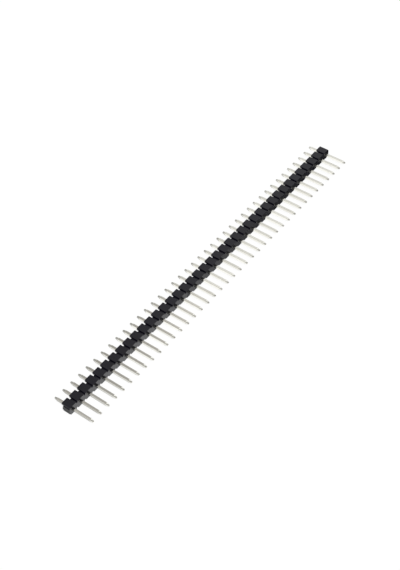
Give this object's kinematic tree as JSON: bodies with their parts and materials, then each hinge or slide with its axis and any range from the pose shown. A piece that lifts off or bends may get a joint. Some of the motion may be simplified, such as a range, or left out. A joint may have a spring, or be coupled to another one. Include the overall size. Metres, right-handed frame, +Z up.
{
  "type": "pin header strip",
  "caption": "Single row pin header: square pins through a black moulded housing that is notched for breaking to length.",
  "frame": {"origin": "on the surface that the strip lies on, below the middle of its bounding box", "axes": "+X runs along the row, +Y is the way the short pin ends point, +Z is up, away from the flank that the strip rests on"},
  "size_m": [0.1014, 0.011, 0.0022],
  "materials": {
    "moulded_housing": "black glass-filled moulding, satin",
    "plated_pin": "bright tin plate on brass wire"
  },
  "bodies": {
    "root": {"housing": "moulded_housing", "pin_01": "plated_pin", "pin_02": "plated_pin", "pin_03": "plated_pin", "pin_04": "plated_pin", "pin_05": "plated_pin", "pin_06": "plated_pin", "pin_07": "plated_pin", "pin_08": "plated_pin", "pin_09": "plated_pin", "pin_10": "plated_pin", "pin_11": "plated_pin", "pin_12": "plated_pin", "pin_13": "plated_pin", "pin_14": "plated_pin", "pin_15": "plated_pin", "pin_16": "plated_pin", "pin_17": "plated_pin", "pin_18": "plated_pin", "pin_19": "plated_pin", "pin_20": "plated_pin", "pin_21": "plated_pin", "pin_22": "plated_pin", "pin_23": "plated_pin", "pin_24": "plated_pin", "pin_25": "plated_pin", "pin_26": "plated_pin", "pin_27": "plated_pin", "pin_28": "plated_pin", "pin_29": "plated_pin", "pin_30": "plated_pin", "pin_31": "plated_pin", "pin_32": "plated_pin", "pin_33": "plated_pin", "pin_34": "plated_pin", "pin_35": "plated_pin", "pin_36": "plated_pin", "pin_37": "plated_pin", "pin_38": "plated_pin", "pin_39": "plated_pin", "pin_40": "plated_pin"}
  },
  "joints": []
}
